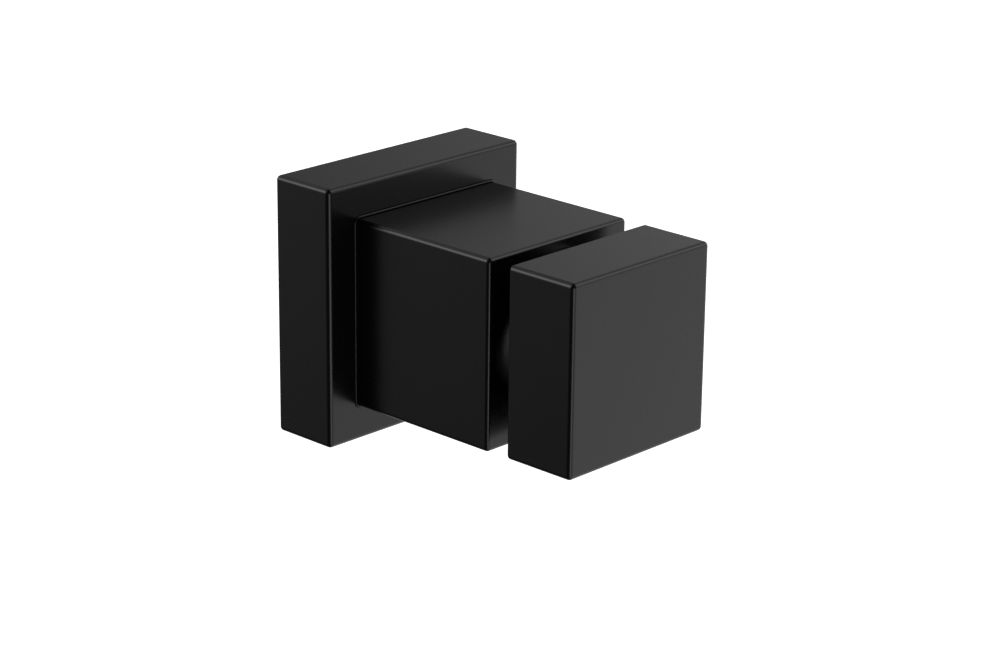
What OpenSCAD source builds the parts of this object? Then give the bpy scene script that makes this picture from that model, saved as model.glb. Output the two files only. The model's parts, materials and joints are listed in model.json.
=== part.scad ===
// Concealed stop valve: square wall trim with its screw-down headwork.
// Origin: centre of the flange's back, on the finished wall. +Z is up and the valve's axis runs along -Y,
// out of the wall. A station is a distance along that axis, measured out from the wall.

/* [Flange] */
// How far the flange shows around the sleeve on each side
flange_border = 8.2; // [6.5:0.1:14]
// Depth of the flange, from the wall to its front face
flange_depth = 16.9; // [14:0.1:24]
// Thickness of the flange's side walls
flange_wall = 3; // [2.5:0.1:4]
// Thickness of the flange's front plate
flange_plate = 2.5; // [2:0.1:3.5]
// Thickness of the lip that hides the wall gasket
flange_lip = 1.5; // [1:0.1:2]
// Corner radius of the square opening in the front plate
opening_r = 1.8; // [0.8:0.1:2.2]
// Gap between the sleeve and the flange's opening, on each side
opening_gap = 0.55; // [0.3:0.05:1]
// Thickness of the foam wall gasket
gasket_t = 3; // [2:0.1:4]
// Width of the foam wall gasket
gasket_width = 4.4; // [3:0.1:4.8]
// Thickness of the square rubber seal round the sleeve
seal_t = 3; // [2:0.1:4]
// How far the seal's lip stands out of the flange's opening
seal_lip = 0.3; // [0:0.1:0.6]

/* [Sleeve] */
// Outer width of the square sleeve
sleeve_w = 43.6; // [40:0.1:56]
// Station of the sleeve's front face
sleeve_front = 57.3; // [44:0.1:80]
// Station of the sleeve's rear end
sleeve_rear = 5.6; // [5:0.1:8]
// Thickness of the sleeve's side walls
sleeve_wall = 2; // [1.5:0.1:2.5]
// Thickness of the sleeve's front wall
sleeve_plate = 3; // [2:0.1:4]
// Length of the plastic spacer that centres the sleeve on its tube
spacer_length = 8; // [5:0.5:10]
// Radius of each moulding pocket in the spacer
spacer_pocket_r = 2.9; // [1.5:0.1:3]

/* [Knob] */
// How far the knob's sides lie inside the sleeve's, on each side
knob_step = 0.1; // [0:0.05:1]
// Depth of the knob
knob_depth = 18.25; // [15:0.05:26]
// Gap between the sleeve and the knob
knob_gap = 5.55; // [4.5:0.05:8]
// Thickness of the knob's side walls
knob_wall = 3; // [2:0.1:4]
// Thickness of the knob's front wall
knob_face = 3; // [2:0.1:3.5]
// Thickness of the ribs between the knob's hub and its walls
rib_t = 2.5; // [1.5:0.1:4]
// Wall of the knob's hub, outside the corners of the insert
hub_wall = 2.4; // [1.5:0.1:3]
// Wall of the hexagonal plastic insert, between its flats and the extension's head
insert_wall = 1.9; // [1.2:0.1:3.5]
// Radius of the knob's set screw
set_screw_r = 2.5; // [2:0.1:3]
// Length of the knob's set screw
set_screw_length = 8; // [5:0.5:9]
// Rounding of the outer edges of flange, sleeve and knob
edge_r = 1.1; // [0.6:0.1:1.6]

/* [Collar and tube] */
// Radius of the round collar between sleeve and knob
collar_r = 20.1; // [17.5:0.1:22]
// Radius of the tube's nose, which the collar screws on to
nose_r = 12.5; // [11:0.1:15]
// Wall of the support tube, outside the headwork's neck
tube_wall = 2.15; // [1.5:0.05:4]
// Thickness of the tube's shoulder behind the sleeve's front wall
shoulder_t = 2.5; // [1.5:0.1:4]
// How far the shoulder stands out past the tube
shoulder_step = 2.8; // [1:0.1:3.5]
// Wall of the plastic bush that guides the spindle extension
bush_wall = 1.9; // [1.2:0.1:3]
// How far behind the sleeve's front face the bush starts
bush_inset = 2; // [0:0.1:8]
// Thickness of the locknut
locknut_t = 4.2; // [3:0.1:5]
// Wall of the locknut, between its flats and the neck
locknut_wall = 2.45; // [1.5:0.05:4]

/* [Headwork] */
// Radius of the pipe thread that goes into the valve in the wall
pipe_thread_r = 10.4775; // [9.5:0.0005:13.3]
// Depth of the groove in which the pipe thread runs out, under the fibre gasket
thread_relief = 1.2; // [0.8:0.1:1.3]
// Station of the face that seats on the valve in the wall
seat_station = -3; // [-5:0.1:-2]
// Length of the pipe thread, with the gasket's thickness
pipe_thread_length = 11; // [9:0.1:14]
// How far the flats of the headwork's hexagon stand out past its neck
bonnet_step = 1.5; // [1:0.1:4]
// Height of the headwork's hexagon
bonnet_hex_h = 7.5; // [7.5:0.1:9]
// Radius of the headwork's threaded neck
neck_r = 11; // [9.1:0.1:13.5]
// Length of the headwork's threaded neck
neck_length = 15.5; // [12:0.1:18]
// Wall of the headwork's plain nose, round the spindle
bonnet_nose_wall = 2.95; // [1.5:0.05:3.5]
// Length of the headwork's plain nose
bonnet_nose_length = 4; // [2:0.1:6]
// Thickness of the fibre gasket under the hexagon
bonnet_gasket_t = 1.5; // [1:0.1:2]
// How far the fibre gasket stands out past the pipe thread
bonnet_gasket_ring = 2; // [1:0.1:2.5]

/* [Spindle] */
// Radius of the spindle's plain journal
spindle_r = 5; // [4.1:0.1:6]
// How far the left-hand driving thread lies inside the journal
drive_step = 1; // [0.5:0.1:2]
// Lead of the driving thread, which the plug travels in one turn
lead = 2; // [1:0.1:2.2]
// Turns of the knob from closed to open
turns = 2.5; // [1.5:0.25:2.5]
// How far the thrust collar stands out past the journal
thrust_step = 1.6; // [1:0.1:2]
// Thickness of the thrust collar
thrust_t = 1.8; // [1.2:0.1:2]
// Thickness of the thrust washer
thrust_washer_t = 0.7; // [0.5:0.05:0.8]
// Section of the spindle's O-rings
oring_d = 1.5; // [1.2:0.1:1.8]
// Station of the first O-ring, from the end of the hexagon
oring_start = 5; // [3:0.1:8]
// Distance between the two O-rings
oring_pitch = 4; // [3:0.1:6]
// How far the spindle's serrations lie inside its journal
serration_step = 0.6; // [0.4:0.1:1]
// Length of the serrations
serration_length = 7.2; // [5:0.1:9]
// Wall of the extension's serrated socket
socket_wall = 2.5; // [1.5:0.1:3]
// How far the serrations of the extension's head lie inside its outside
head_step = 1; // [0.5:0.1:1.8]
// Length of the extension's head
head_length = 8.5; // [7:0.1:10.2]
// Radius of the screw that holds the extension
tie_screw_r = 2; // [1.5:0.1:2.2]

/* [Plug] */
// Length of the plug carrier
carrier_length = 13.8; // [11:0.1:17]
// Thickness of the carrier's closed end, which the washer's screw goes into
carrier_floor = 3; // [2.7:0.1:4]
// How far the rubber valve washer lies inside the carrier's flats
washer_inset = 0.1; // [0:0.1:2]
// Thickness of the rubber valve washer
washer_t = 2.8; // [2:0.1:4]
// Radius of the screw that holds the valve washer
washer_screw_r = 1.5; // [1.5:0.1:2]

/* [Clearances] */
// Radial running clearance of a shaft in its bore
run_gap = 0.05; // [0.02:0.01:0.08]
// Radial gap between a screw and the plain hole that it passes through
hole_gap = 0.25; // [0.15:0.05:0.4]
// Gap between faces that are fitted together
fit_gap = 0.1; // [0.05:0.01:0.15]
// Gap between faces that turn or slide past each other
face_gap = 0.3; // [0.2:0.05:0.4]

/* [Hidden] */
$fn = 64;
// Sides of the round columns that a hull joins
hull_fn = 32;
// How far a cutting shape runs past the face that it cuts
over = 0.5;

flange_w = sleeve_w + 2 * flange_border;
cavity_w = flange_w - 2 * flange_wall;
rebate_w = flange_w - 2 * flange_lip;
opening_w = sleeve_w + 2 * opening_gap;
plate_rear = flange_depth - flange_plate;
sleeve_bore_w = sleeve_w - 2 * sleeve_wall;
knob_w = sleeve_w - 2 * knob_step;

knob_rear = sleeve_front + knob_gap;
knob_front = knob_rear + knob_depth;
knob_bore_w = knob_w - 2 * knob_wall;
collar_front = knob_rear - 2 * face_gap;

seat_end = seat_station - pipe_thread_length;
hex_end = seat_station + bonnet_hex_h;
neck_end = hex_end + neck_length;
bonnet_end = neck_end + bonnet_nose_length;
locknut_rear = hex_end + 2 * face_gap;
tube_rear = locknut_rear + locknut_t + fit_gap;
spacer_rear = tube_rear + 2 * face_gap;

// Across the spindle, from the drive thread out to the pipe thread
drive_r = spindle_r - drive_step;
thrust_r = spindle_r + thrust_step;
recess_r = thrust_r + face_gap;
guide_flats = 2 * (recess_r + fit_gap);
carrier_flats = guide_flats - 2 * fit_gap;
relief_r = pipe_thread_r - thread_relief;
bonnet_gasket_r = pipe_thread_r + bonnet_gasket_ring;
bonnet_flats = 2 * max(neck_r + bonnet_step, bonnet_gasket_r);
bonnet_nose_r = spindle_r + run_gap + bonnet_nose_wall;
serration_r = spindle_r - serration_step;
circlip_groove_r = spindle_r - 0.8;
circlip_r = spindle_r + 1.6;
oring_out_r = spindle_r + run_gap / 2;
oring_mid_r = oring_out_r - oring_d / 2;
oring_groove_r = spindle_r - oring_d;

// Across the extension, from its serrated socket out to the support tube
extension_r = serration_r + fit_gap + socket_wall;
head_r = extension_r - head_step;
insert_flats = 2 * (head_r + fit_gap + insert_wall);
hub_r = insert_flats / 2 / cos(30) + hub_wall;
bush_r = extension_r + run_gap + bush_wall;
tube_bore_r = max(bush_r + run_gap, bonnet_nose_r + hole_gap);
tube_r = neck_r + run_gap + tube_wall;
shoulder_r = tube_r + shoulder_step;
locknut_flats = 2 * (neck_r + run_gap + locknut_wall);
tube_front = collar_front - 1;
bush_rear = sleeve_front - bush_inset;

// The guide's closed end stops the plug when the valve is open
lift = lead * turns;
guide_depth = 4;
guide_end = seat_station + guide_depth;
thrust_rear = guide_end + face_gap;
thrust_seat = thrust_rear + thrust_t + fit_gap + thrust_washer_t;
carrier_front = guide_end - face_gap - lift;
carrier_rear = carrier_front - carrier_length;
drive_end = carrier_rear + carrier_floor + lift + face_gap;
washer_rear = carrier_rear - washer_t;
washer_r = carrier_flats / 2 - washer_inset;
cup_t = 0.8;
cup_r = washer_r - 1.5;
washer_head_t = 1.8;
washer_head_r = 2 * washer_screw_r;

circlip_t = 1;
circlip_land = 0.6;
circlip_rear = bonnet_end + face_gap;
journal_end = circlip_rear + circlip_t + circlip_land;
serration_end = journal_end + serration_length;
oring_stations = [hex_end + oring_start, hex_end + oring_start + oring_pitch];

// The extension's head reaches into the knob, past its rear rim
head_inset = 0.65;
extension_rear = journal_end + face_gap;
head_rear = knob_rear + head_inset;
head_end = head_rear + head_length;
lock_washer_t = 0.9;
tie_head_r = 1.75 * tie_screw_r;
tie_head_t = 1.5 * tie_screw_r;
tie_head_end = head_end + lock_washer_t + tie_head_t;
insert_rear = head_rear + fit_gap;
insert_end = head_end + fit_gap;
set_screw_station = head_rear + head_length / 2;
set_screw_top = -head_r - fit_gap;
set_screw_bottom = set_screw_top - set_screw_length;
cap_ledge = 0.5;
cap_r = set_screw_r + cap_ledge;
cap_t = 2;
boss_wall = 1.8;
boss_r = cap_r + boss_wall;
rib_inset = 1;

// Places what is drawn along +Z at a station, pointing out of the wall
module outward(station = 0) {
    translate([0, -station, 0])
        rotate([90, 0, 0])
            children();
}

// Solid round bar between two stations
module rod(r, from, to) {
    outward(from)
        cylinder(r = r, h = to - from);
}

// Hexagonal bar between two stations, with a flat at the bottom
module hex_rod(flats, from, to) {
    outward(from)
        cylinder(r = flats / 2 / cos(30), h = to - from, $fn = 6);
}

// Square bar between two stations
module square_rod(w, from, to) {
    outward(from)
        linear_extrude(to - from)
            square(w, center = true);
}

// Square bar with round corners between two stations
module round_square_rod(w, r, from, to) {
    outward(from)
        linear_extrude(to - from) {
            square([w, w - 2 * r], center = true);
            square([w - 2 * r, w], center = true);
            for (x = [-1, 1], y = [-1, 1])
                translate([x * (w / 2 - r), y * (w / 2 - r)])
                    circle(r);
        }
}

// Column with a round front end, and a round rear end if asked
module soft_column(r, h, round_rear) {
    steps = hull_fn / 4;
    turn = 90 / steps;
    rear = round_rear ? [for (i = [0 : steps - 1]) r * [sin(i * turn), 1 - cos(i * turn)]] : [[0, 0]];
    front = [for (i = [0 : steps]) [r * cos(i * turn), h - r + r * sin(i * turn)]];
    rotate_extrude($fn = hull_fn)
        polygon(concat(rear, [[r, round_rear ? r : 0]], front));
}

// Square block with round edges along its sides and round its front, and round its rear if asked
module soft_block(w, from, to, round_rear = false) {
    side = w / 2 - edge_r;
    hull()
        for (x = [-side, side], y = [-side, side])
            outward(from)
                translate([x, y, 0])
                    soft_column(edge_r, to - from, round_rear);
}

// Outline of a serrated shaft with pointed teeth
module serrations(tip_r, teeth = 20, depth = 0.4) {
    polygon([for (i = [0 : 2 * teeth - 1])
        (tip_r - depth * (i % 2)) * [cos(180 * i / teeth), sin(180 * i / teeth)]]);
}

// Serrated bar between two stations
module serrated_rod(tip_r, from, to) {
    outward(from)
        linear_extrude(to - from)
            serrations(tip_r);
}

// Ring of round section about the valve's axis
module oring(mid_r, section_d, station) {
    outward(station)
        rotate_extrude()
            translate([mid_r, 0])
                circle(d = section_d);
}

// Hexagon-socket recess, cut from the station where the head ends
module hex_socket(flats, from, to) {
    hex_rod(flats, from, to + over);
}

module wall_flange() {
    color("#2b2b2c")
        difference() {
            soft_block(flange_w, 0, flange_depth);
            square_rod(cavity_w, -over, plate_rear);
            square_rod(rebate_w, -over, gasket_t);
            round_square_rod(opening_w, opening_r, plate_rear - over, flange_depth + over);
        }
}

// Foam ring in the rebate of the flange, flush with the wall
module wall_gasket() {
    outer_w = rebate_w - 2 * fit_gap;
    color("#3c3c3e")
        difference() {
            square_rod(outer_w, 0, gasket_t - fit_gap);
            square_rod(outer_w - 2 * gasket_width, -over, gasket_t + over);
        }
}

// Rubber ring behind the front plate, which holds the flange on the sleeve. Its lip fills the gap
// between them.
module sleeve_seal() {
    front = plate_rear - fit_gap;
    rear = front - seal_t;
    lip_front = flange_depth + seal_lip;
    color("#1a1a1a")
        difference() {
            union() {
                square_rod(cavity_w - 2 * fit_gap, rear, front);
                round_square_rod(opening_w - 2 * fit_gap, opening_r - fit_gap, rear, lip_front);
            }
            round_square_rod(sleeve_w + 2 * fit_gap, edge_r + fit_gap, rear - over, lip_front + over);
        }
}

module square_sleeve() {
    color("#2b2b2c")
        difference() {
            soft_block(sleeve_w, sleeve_rear, sleeve_front);
            square_rod(sleeve_bore_w, sleeve_rear - over, sleeve_front - sleeve_plate);
            rod(nose_r + fit_gap, sleeve_front - sleeve_plate - over, sleeve_front + over);
        }
}

// Plastic block that keeps the sleeve square and central on the tube
module sleeve_spacer() {
    w = sleeve_bore_w - 2 * fit_gap;
    pocket = (w / 2 + tube_r / sqrt(2)) / 2;
    pocket_floor = 2;
    color("#d9d6cc")
        difference() {
            square_rod(w, spacer_rear, spacer_rear + spacer_length);
            rod(tube_r + fit_gap, spacer_rear - over, spacer_rear + spacer_length + over);
            for (x = [-pocket, pocket], z = [-pocket, pocket])
                translate([x, 0, z])
                    rod(spacer_pocket_r, spacer_rear - over, spacer_rear + spacer_length - pocket_floor);
        }
}

// Round nut that clamps the sleeve's front wall, with two blind holes for a pin spanner
module retaining_collar() {
    spanner_r = 1.5;
    spanner_depth = 2;
    ring_r = (nose_r + collar_r) / 2;
    color("#222223")
        difference() {
            rod(collar_r, sleeve_front, collar_front);
            rod(nose_r + run_gap, sleeve_front - over, collar_front + over);
            outward(sleeve_front)
                rotate_extrude()
                    translate([ring_r, 0])
                        square(oring_d + 2 * fit_gap, center = true);
            for (x = [-ring_r, ring_r])
                translate([x, 0, 0])
                    rod(spanner_r, collar_front - spanner_depth, collar_front + over);
        }
}

// Rubber ring between the collar and the sleeve
module collar_oring() {
    section = (oring_d + 2 * fit_gap) / 2 - fit_gap / 2;
    color("#151515")
        oring((nose_r + collar_r) / 2, section, sleeve_front + section / 2 + fit_gap / 4);
}

// Brass tube that screws on to the headwork's neck and carries the sleeve
module support_tube() {
    shoulder_front = sleeve_front - sleeve_plate;
    color("#c9a35a")
        difference() {
            union() {
                rod(tube_r, tube_rear, shoulder_front - shoulder_t + over);
                rod(shoulder_r, shoulder_front - shoulder_t, shoulder_front);
                rod(nose_r, shoulder_front - over, tube_front);
            }
            rod(neck_r + run_gap, tube_rear - over, neck_end + face_gap);
            rod(tube_bore_r, neck_end, tube_front + over);
        }
}

module tube_locknut() {
    color("#c9a35a")
        difference() {
            hex_rod(locknut_flats, locknut_rear, locknut_rear + locknut_t);
            rod(neck_r + run_gap, locknut_rear - over, locknut_rear + locknut_t + over);
        }
}

// Plastic bush in the mouth of the tube, in which the extension turns
module guide_bush() {
    color("#e8e6df")
        difference() {
            rod(bush_r, bush_rear, tube_front);
            rod(extension_r + run_gap, bush_rear - over, tube_front + over);
        }
}

// Brass body: pipe thread and hexagonal plug guide, hexagon, threaded neck, plain nose
module headwork_body() {
    thread_end = seat_station - bonnet_gasket_t;
    color("#c9a35a")
        difference() {
            union() {
                rod(pipe_thread_r, seat_end, thread_end);
                rod(relief_r, thread_end - over, seat_station + over);
                hex_rod(bonnet_flats, seat_station, hex_end);
                rod(neck_r, hex_end - over, neck_end);
                rod(bonnet_nose_r, neck_end - over, bonnet_end);
            }
            hex_rod(guide_flats, seat_end - over, guide_end);
            rod(recess_r, guide_end - over, thrust_seat);
            rod(spindle_r + run_gap, thrust_seat - over, bonnet_end + over);
        }
}

module headwork_gasket() {
    color("#8a4a34")
        difference() {
            rod(bonnet_gasket_r, seat_station - bonnet_gasket_t, seat_station);
            rod(pipe_thread_r + fit_gap, seat_station - bonnet_gasket_t - over, seat_station + over);
        }
}

// Low-friction ring between the spindle's collar and the headwork
module thrust_washer() {
    rear = thrust_seat - thrust_washer_t;
    color("#e8e6df")
        difference() {
            rod(thrust_r, rear, thrust_seat);
            rod(spindle_r + run_gap, rear - over, thrust_seat + over);
        }
}

// Hollow square knob with a hub, ribs and a boss for the set screw
module knob_shell() {
    pocket_front = knob_front - knob_face;
    rib_length = pocket_front + over - knob_rear - rib_inset;
    color("#2b2b2c")
        difference() {
            union() {
                difference() {
                    soft_block(knob_w, knob_rear, knob_front, true);
                    square_rod(knob_bore_w, knob_rear - over, pocket_front);
                }
                rod(hub_r, knob_rear, pocket_front + over);
                for (turn = [0, 90, 180, 270])
                    rotate([0, turn, 0])
                        translate([0, -pocket_front - over, -rib_t / 2])
                            cube([knob_bore_w / 2 + over, rib_length, rib_t]);
                translate([0, -set_screw_station, -knob_bore_w / 2 - over])
                    cylinder(r = boss_r, h = knob_bore_w / 2);
            }
            hex_rod(insert_flats + 2 * fit_gap, knob_rear - over, insert_end + fit_gap);
            rod(tie_head_r + 4 * fit_gap, insert_end, tie_head_end + face_gap);
            translate([0, -set_screw_station, -knob_w / 2 - over])
                cylinder(r = cap_r, h = knob_w / 2 + over + set_screw_bottom - face_gap);
            translate([0, -set_screw_station, set_screw_bottom - over])
                cylinder(r = set_screw_r + run_gap, h = -set_screw_bottom);
        }
}

// Plastic adapter between the knob's hub and the extension's serrated head
module knob_insert() {
    color("#d9d6cc")
        difference() {
            hex_rod(insert_flats, insert_rear, insert_end);
            serrated_rod(head_r + fit_gap, insert_rear - over, insert_end + over);
            translate([0, -set_screw_station, -insert_flats])
                cylinder(r = set_screw_r + hole_gap, h = insert_flats);
        }
}

// Grub screw with a hexagon socket, which comes up through the knob's underside
module set_screw() {
    socket_flats = set_screw_r;
    socket_depth = 3;
    color("#7d7d80")
        translate([0, -set_screw_station, set_screw_bottom])
            difference() {
                cylinder(r = set_screw_r, h = set_screw_length);
                translate([0, 0, -over])
                    cylinder(r = socket_flats / 2 / cos(30), h = socket_depth + over, $fn = 6);
            }
}

// Plug that hides the set screw's hole
module screw_cap() {
    color("#222223")
        translate([0, -set_screw_station, -knob_w / 2])
            cylinder(r = cap_r - fit_gap, h = cap_t);
}

// Brass rod with a serrated socket for the spindle and a serrated head for the knob
module spindle_extension() {
    color("#c9a35a")
        difference() {
            union() {
                rod(extension_r, extension_rear, head_rear);
                serrated_rod(head_r, head_rear - over, head_end);
            }
            serrated_rod(serration_r + fit_gap, extension_rear - over, serration_end + face_gap);
            rod(tie_screw_r + hole_gap, serration_end, head_end + over);
        }
}

// Long cap screw that ties the extension to the spindle
module extension_screw() {
    head_from = head_end + lock_washer_t;
    color("#b9b9bc")
        difference() {
            union() {
                rod(tie_screw_r, journal_end, head_from + over);
                rod(tie_head_r, head_from, tie_head_end);
            }
            hex_socket(1.5 * tie_screw_r, tie_head_end - tie_head_t / 2, tie_head_end);
        }
}

// Split spring washer under the cap screw's head
module lock_washer() {
    slit = 0.8;
    color("#9a9a9e")
        difference() {
            rod(tie_head_r, head_end, head_end + lock_washer_t);
            rod(tie_screw_r + hole_gap / 2, head_end - over, head_end + lock_washer_t + over);
            translate([-slit / 2, -head_end - lock_washer_t - over, 0])
                cube([slit, lock_washer_t + 2 * over, tie_head_r + over]);
        }
}

// Non-rising spindle: drive thread, thrust collar, grooved journal, serrated end with a tapped hole
module spindle() {
    groove_w = oring_d + 0.5;
    tap_drill = 0.5;
    color("#c9a35a")
        difference() {
            union() {
                rod(drive_r, drive_end, thrust_rear + over);
                rod(thrust_r, thrust_rear, thrust_rear + thrust_t);
                rod(spindle_r, thrust_rear + thrust_t - over, journal_end);
                serrated_rod(serration_r, journal_end - over, serration_end);
            }
            for (station = oring_stations)
                outward(station - groove_w / 2)
                    difference() {
                        cylinder(r = spindle_r + over, h = groove_w);
                        translate([0, 0, -over])
                            cylinder(r = oring_groove_r, h = groove_w + 2 * over);
                    }
            outward(circlip_rear - fit_gap)
                difference() {
                    cylinder(r = spindle_r + over, h = circlip_t + 2 * fit_gap);
                    translate([0, 0, -over])
                        cylinder(r = circlip_groove_r, h = circlip_t + 2 * over);
                }
            rod(tie_screw_r + run_gap, journal_end - tap_drill, serration_end + over);
        }
}

module spindle_orings() {
    color("#151515")
        for (station = oring_stations)
            oring(oring_mid_r, oring_d, station);
}

// Open retaining ring on the spindle, in front of the headwork's nose
module spindle_circlip() {
    mouth = 1.2 * circlip_groove_r;
    color("#9a9a9e")
        difference() {
            rod(circlip_r, circlip_rear, circlip_rear + circlip_t);
            rod(circlip_groove_r + run_gap, circlip_rear - over, circlip_rear + circlip_t + over);
            translate([-mouth / 2, -circlip_rear - circlip_t - over, 0])
                cube([mouth, circlip_t + 2 * over, circlip_r + over]);
        }
}

// Hexagonal nut that the spindle screws in and out, guided by the headwork
module plug_carrier() {
    color("#c9a35a")
        difference() {
            hex_rod(carrier_flats, carrier_rear, carrier_front);
            rod(drive_r + run_gap, carrier_rear + carrier_floor, carrier_front + over);
            rod(washer_screw_r + run_gap, carrier_rear - over, carrier_rear + carrier_floor + over);
        }
}

module valve_washer() {
    color("#151515")
        difference() {
            rod(washer_r, washer_rear, carrier_rear);
            rod(washer_screw_r + hole_gap, washer_rear - over, carrier_rear + over);
        }
}

// Thin brass disc that spreads the screw's load over the rubber
module washer_cup() {
    color("#c9a35a")
        difference() {
            rod(cup_r, washer_rear - cup_t, washer_rear);
            rod(washer_screw_r + hole_gap, washer_rear - cup_t - over, washer_rear + over);
        }
}

// Slotted screw that holds the valve washer on its carrier
module washer_screw() {
    head_front = washer_rear - cup_t;
    slot_w = 0.8;
    tip_gap = 0.5;
    color("#c9a35a")
        difference() {
            union() {
                rod(washer_screw_r, head_front - over, carrier_rear + carrier_floor - tip_gap);
                rod(washer_head_r, head_front - washer_head_t, head_front);
            }
            translate([-washer_head_r - over, -head_front + washer_head_t / 2, -slot_w / 2])
                cube([2 * (washer_head_r + over), washer_head_t, slot_w]);
        }
}

wall_flange();
wall_gasket();
sleeve_seal();
square_sleeve();
sleeve_spacer();
retaining_collar();
collar_oring();
support_tube();
tube_locknut();
guide_bush();
headwork_body();
headwork_gasket();
thrust_washer();
knob_shell();
knob_insert();
set_screw();
screw_cap();
spindle_extension();
extension_screw();
lock_washer();
spindle();
spindle_orings();
spindle_circlip();
plug_carrier();
valve_washer();
washer_cup();
washer_screw();
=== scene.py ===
import json
import math
from types import SimpleNamespace

import bmesh
import bpy
import numpy as np
from mathutils import Matrix, Vector
from mathutils.geometry import delaunay_2d_cdt


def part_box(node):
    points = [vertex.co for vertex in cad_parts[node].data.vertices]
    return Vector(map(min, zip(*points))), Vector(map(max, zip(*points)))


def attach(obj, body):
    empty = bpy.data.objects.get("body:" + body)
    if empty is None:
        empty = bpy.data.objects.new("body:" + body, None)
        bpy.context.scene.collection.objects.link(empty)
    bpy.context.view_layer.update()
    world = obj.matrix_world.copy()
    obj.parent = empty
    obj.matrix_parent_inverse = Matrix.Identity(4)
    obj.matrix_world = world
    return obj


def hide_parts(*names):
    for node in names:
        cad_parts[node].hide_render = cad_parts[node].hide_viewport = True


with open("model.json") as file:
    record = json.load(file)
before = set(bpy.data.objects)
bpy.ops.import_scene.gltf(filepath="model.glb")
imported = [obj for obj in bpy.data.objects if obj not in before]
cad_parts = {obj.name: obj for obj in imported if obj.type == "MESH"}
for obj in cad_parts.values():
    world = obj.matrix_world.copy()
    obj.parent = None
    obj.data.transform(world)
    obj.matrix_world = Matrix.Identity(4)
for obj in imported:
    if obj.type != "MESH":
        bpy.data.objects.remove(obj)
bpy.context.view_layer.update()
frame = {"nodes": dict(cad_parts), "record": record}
scene = bpy.context.scene
scene.view_settings.view_transform = "Standard"
mm = 0.001
print("frame loaded:", len(frame["nodes"]), "nodes")

# Stations are distances out of the wall, along -Y, in mm. Sizes below are in mm too.

# camera

cameraView = {"aim": (0.00132, -0.03882, -0.00478), "distance": 0.6318, "azimuth": -46.492,
              "elevation": 19.074, "roll": 0.683, "lens": 102.46, "sensor": 36}


def placeCamera(view):
    azimuth, elevation, roll = (math.radians(view[k]) for k in ("azimuth", "elevation", "roll"))
    back = Vector((math.sin(azimuth) * math.cos(elevation), -math.cos(azimuth) * math.cos(elevation),
                   math.sin(elevation)))
    level = Vector((math.cos(azimuth), math.sin(azimuth), 0))
    upright = back.cross(level)
    right = level * math.cos(roll) + upright * math.sin(roll)
    up = upright * math.cos(roll) - level * math.sin(roll)
    camera = bpy.data.objects.new("camera", bpy.data.cameras.new("camera"))
    camera.data.lens = view["lens"]
    camera.data.sensor_width = view["sensor"]
    camera.data.clip_start = 0.01
    camera.matrix_world = (Matrix.Translation(Vector(view["aim"]) + back * view["distance"])
                           @ Matrix((right, up, back)).transposed().to_4x4())
    scene.collection.objects.link(camera)
    scene.camera = camera


placeCamera(cameraView)
print("camera placed")

# nodes


def linear(hexColour):
    # sRGB to linear: c / 12.92 up to 0.04045, above it ((c + 0.055) / 1.055) ** 2.4
    srgb = np.array([int(hexColour[i:i + 2], 16) for i in (1, 3, 5)]) / 255
    return (*np.where(srgb > 0.04045, ((srgb + 0.055) / 1.055) ** 2.4, srgb / 12.92), 1)


def addNode(tree, kind, settings=None, links=None):
    # settings go to sockets by name or number, or else to the node itself; links are {socket: source}
    node = tree.nodes.new(kind)
    for name, value in (settings or {}).items():
        if isinstance(name, int) or name in node.inputs:
            node.inputs[name].default_value = value
        else:
            setattr(node, name, value)
    for name, source in (links or {}).items():
        tree.links.new(source, node.inputs[name])
    return node


# light: a dim room with soft lamps. Each lobe adds its strength times smoothstep((d . axis - edge) /
# (core - edge)), where d is the direction looked in.
studio = {"base": 0.05, "lobes": {
    "frontPanel": {"axis": (0.8, -0.15, -0.58), "edge": 0.2, "core": 0.98, "strength": 0.93},
    "rightPanel": {"axis": (0.945, 0, 0.327), "edge": 0.62, "core": 0.98, "strength": 0.57},
    "leftWall": {"axis": (-0.58, 0.67, 0.46), "edge": 0.45, "core": 1, "strength": 0.4},
    "ceiling": {"axis": (0.2, 0.7, 0.69), "edge": 0.75, "core": 1, "strength": 0.22},
    "leftAbove": {"axis": (-0.68, 0.62, 0.39), "edge": 0.93, "core": 0.99, "strength": 2.4},
    "rightAbove": {"axis": (0.686, -0.53, 0.5), "edge": 0.94, "core": 0.99, "strength": 1.1},
    "leftLow": {"axis": (-0.22, -0.92, -0.327), "edge": 0.93, "core": 0.995, "strength": 1.7}}}


def lightStudio(setting):
    world = bpy.data.worlds.new("studio")
    world.use_nodes = True
    scene.world = world
    tree = world.node_tree
    tree.nodes.clear()
    direction = addNode(tree, "ShaderNodeTexCoord").outputs["Generated"]
    total = None
    for lobe in setting["lobes"].values():
        toward = addNode(tree, "ShaderNodeVectorMath",
                         {"operation": "DOT_PRODUCT", 1: Vector(lobe["axis"]).normalized()}, {0: direction})
        soft = addNode(tree, "ShaderNodeMapRange",
                       {"interpolation_type": "SMOOTHSTEP", "From Min": lobe["edge"],
                        "From Max": lobe["core"], "To Min": 0, "To Max": lobe["strength"]},
                       {"Value": toward.outputs["Value"]}).outputs[0]
        links = {0: soft} if total is None else {0: soft, 1: total}
        total = addNode(tree, "ShaderNodeMath", {"operation": "ADD", 1: setting["base"]}, links).outputs[0]
    light = addNode(tree, "ShaderNodeBackground", {"Color": (1, 1, 1, 1)}, {"Strength": total})
    addNode(tree, "ShaderNodeOutputWorld", links={"Surface": light.outputs[0]})


lightStudio(studio)

cove = {"middle": 0.1, "radius": 3000, "floor": -450, "bend": 900, "wall": 1800, "bendRows": 17,
        "spokes": 96, "colour": "#f7f7f5", "rough": 0.9, "glow": 1.02}


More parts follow.
